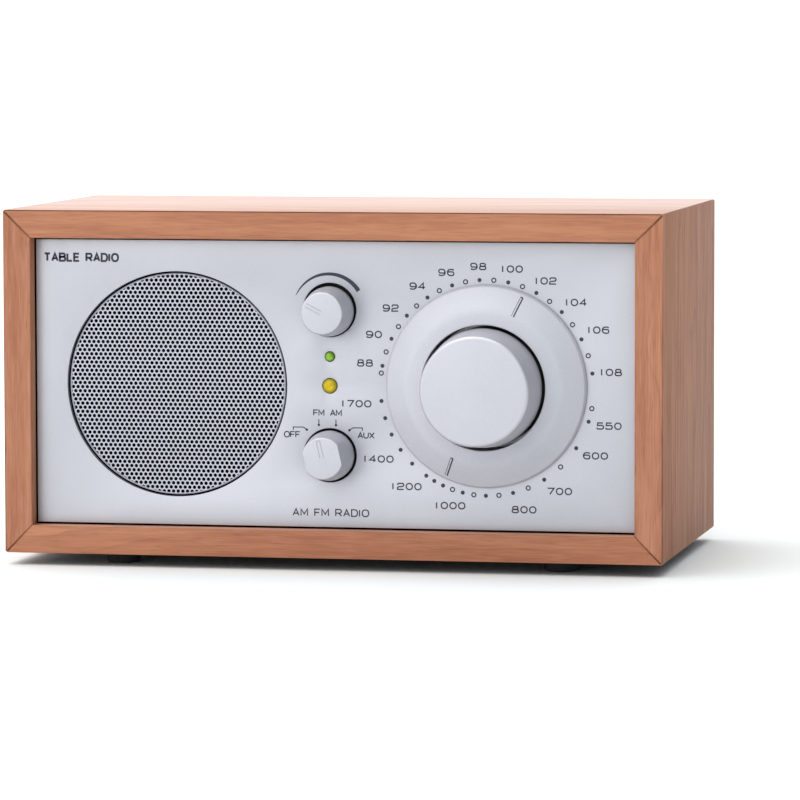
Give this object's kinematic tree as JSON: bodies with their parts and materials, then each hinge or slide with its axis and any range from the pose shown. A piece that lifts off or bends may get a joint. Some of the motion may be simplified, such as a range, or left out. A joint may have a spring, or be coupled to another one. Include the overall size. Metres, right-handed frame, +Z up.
{
  "type": "table radio",
  "caption": "Table radio with a wooden cabinet, silver front panel, round speaker grille, geared tuning dial, volume and band knobs.",
  "frame": {"origin": "under the middle of the whole radio, on the surface its feet stand on", "axes": "+Z up, front facing -Y, +X to the right seen from the front"},
  "size_m": [0.213, 0.1334, 0.114],
  "materials": {
    "wood": "cherry veneer, satin lacquer",
    "fibreboard": "black painted fibreboard",
    "silver": "satin silver paint",
    "grille": "perforated, satin silver",
    "steel": "zinc plated",
    "aluminium": "bare",
    "brass": "bare",
    "copper": "enamelled copper wire",
    "ferrite": "sintered, matt",
    "paper": "black treated paper",
    "fabric": "impregnated cloth",
    "rubber": "matt black",
    "black_plastic": "moulded, matt",
    "black_panel": "black, fine texture",
    "white_plastic": "moulded",
    "circuit_board": "solder mask",
    "power_lamp": "clear green lens",
    "tuning_lamp": "clear yellow lens"
  },
  "bodies": {
    "cabinet": {"cabinet_top": "wood", "cabinet_bottom": "wood", "cabinet_left": "wood", "cabinet_right": "wood", "baffle_board": "fibreboard", "rear_cleat_left": "fibreboard", "rear_cleat_right": "fibreboard", "face_panel": "silver", "speaker_grille": "grille", "foot_1": "rubber", "foot_2": "rubber", "foot_3": "rubber", "foot_4": "rubber", "cone_surround": "rubber", "bass_port_tube": "black_plastic", "filter_capacitor": "black_plastic", "ferrite_clip": "black_plastic", "mains_inlet": "black_plastic", "aerial_switch": "black_plastic", "rear_panel": "black_panel", "rear_screw_1": "steel", "rear_screw_2": "steel", "rear_screw_3": "steel", "rear_screw_4": "steel", "speaker_basket": "steel", "magnet_top_plate": "steel", "magnet_yoke": "steel", "volume_control": "steel", "selector_switch": "steel", "ring_gear": "steel", "capacitor_frame": "steel", "transformer_core": "steel", "aux_socket": "steel", "headphone_socket": "steel", "capacitor_stator": "brass", "aerial_socket": "brass", "transformer_winding": "copper", "magnet_ring": "ferrite", "ferrite_rod": "ferrite", "cone_spider": "fabric", "control_board": "circuit_board", "main_board": "circuit_board", "power_lamp": "power_lamp", "tuning_lamp": "tuning_lamp"},
    "tuning_knob": {"tuning_knob": "silver", "tuning_shaft": "steel"},
    "dial": {"dial_ring": "silver", "planet_carrier": "steel", "capacitor_rotor": "aluminium"},
    "planet_1": {"planet_gear_1": "brass"},
    "planet_2": {"planet_gear_2": "brass"},
    "planet_3": {"planet_gear_3": "brass"},
    "volume": {"volume_knob": "silver", "volume_shaft": "steel"},
    "selector": {"selector_knob": "silver", "selector_shaft": "steel"},
    "cone": {"speaker_cone": "paper", "dust_cap": "paper", "voice_coil": "copper"},
    "aerial_slider": {"aerial_slider": "white_plastic"}
  },
  "joints": [
    {"name": "tuning_knob_turn", "type": "hinge", "parent": "cabinet", "child": "tuning_knob", "pos_m": [0.0496, -0.0445, 0.05905], "axis": [0, 1, 0], "range_deg": [-538, 362]},
    {"name": "dial_turn", "type": "hinge", "parent": "cabinet", "child": "dial", "pos_m": [0.0496, -0.0445, 0.05905], "axis": [0, 1, 0], "range_deg": [-107.7, 72.5]},
    {"name": "planet_1_spin", "type": "hinge", "parent": "dial", "child": "planet_1", "pos_m": [0.0496, -0.0445, 0.07255], "axis": [0, 1, 0], "range_deg": [-193.2, 287.1]},
    {"name": "planet_2_spin", "type": "hinge", "parent": "dial", "child": "planet_2", "pos_m": [0.03791, -0.0445, 0.0523], "axis": [0, 1, 0], "range_deg": [-193.2, 287.1]},
    {"name": "planet_3_spin", "type": "hinge", "parent": "dial", "child": "planet_3", "pos_m": [0.06129, -0.0445, 0.0523], "axis": [0, 1, 0], "range_deg": [-193.2, 287.1]},
    {"name": "volume_turn", "type": "hinge", "parent": "cabinet", "child": "volume", "pos_m": [-0.0009, -0.0445, 0.0823], "axis": [0, 1, 0], "range_deg": [-87, 213]},
    {"name": "selector_turn", "type": "hinge", "parent": "cabinet", "child": "selector", "pos_m": [-0.0009, -0.0445, 0.0365], "axis": [0, 1, 0], "range_deg": [-30, 60]},
    {"name": "cone_travel", "type": "slide", "parent": "cabinet", "child": "cone", "axis": [0, 1, 0], "range_m": [-0.002, 0.002], "stiffness_N_per_m": 1300},
    {"name": "aerial_switch_slide", "type": "slide", "parent": "cabinet", "child": "aerial_slider", "axis": [1, 0, 0], "range_m": [0, 0.003]}
  ],
  "couplings": [
    {"joint": "dial_turn", "follows": "tuning_knob_turn", "ratio": 0.2},
    {"joint": "planet_1_spin", "follows": "tuning_knob_turn", "ratio": -0.53333},
    {"joint": "planet_2_spin", "follows": "tuning_knob_turn", "ratio": -0.53333},
    {"joint": "planet_3_spin", "follows": "tuning_knob_turn", "ratio": -0.53333}
  ]
}
